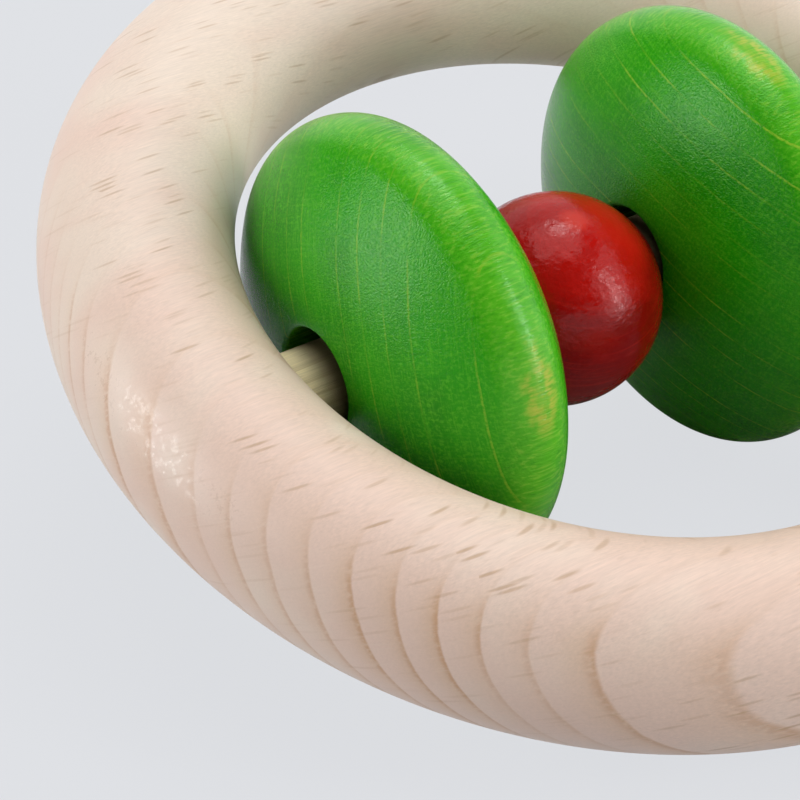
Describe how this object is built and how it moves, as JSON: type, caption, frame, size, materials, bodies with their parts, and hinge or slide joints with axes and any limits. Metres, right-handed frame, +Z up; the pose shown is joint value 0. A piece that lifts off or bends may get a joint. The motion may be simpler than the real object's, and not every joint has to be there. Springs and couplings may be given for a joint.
{
  "type": "ring rattle",
  "caption": "Wooden ring rattle for a baby: a round beech ring crossed by a dowel, on which thick green discs and a red ball slide and turn loosely.",
  "frame": {"origin": "on the surface that the rattle lies on, under the ring's centre", "axes": "+X along the dowel, towards the end where the beads have room to slide; +Z up, off the surface; the ring's low edge is towards -Y"},
  "size_m": [0.105, 0.1016, 0.0432],
  "materials": {
    "natural_beech": "satin, oiled, fine growth lines and ray flecks",
    "raw_dowel": "matte, bare wood",
    "green_stain": "semi-gloss, see-through stain over the grain",
    "red_lacquer": "semi-gloss lacquer"
  },
  "bodies": {
    "ring": {"grip_ring": "natural_beech", "axle_dowel": "raw_dowel"},
    "ball": {"middle_ball": "red_lacquer"},
    "left_disc": {"left_disc": "green_stain"},
    "right_disc": {"right_disc": "green_stain"}
  },
  "joints": [
    {"name": "bead_slide", "type": "slide", "parent": "ring", "child": "ball", "axis": [1, 0, 0], "range_m": [-0.0006, 0.0115]},
    {"name": "left_disc_spin", "type": "hinge", "parent": "ball", "child": "left_disc", "pos_m": [-0.02326, 0.00031, 0.0216], "axis": [1, 0, 0], "continuous": true},
    {"name": "right_disc_spin", "type": "hinge", "parent": "ball", "child": "right_disc", "pos_m": [0.01232, 0.00031, 0.0216], "axis": [1, 0, 0], "continuous": true}
  ]
}
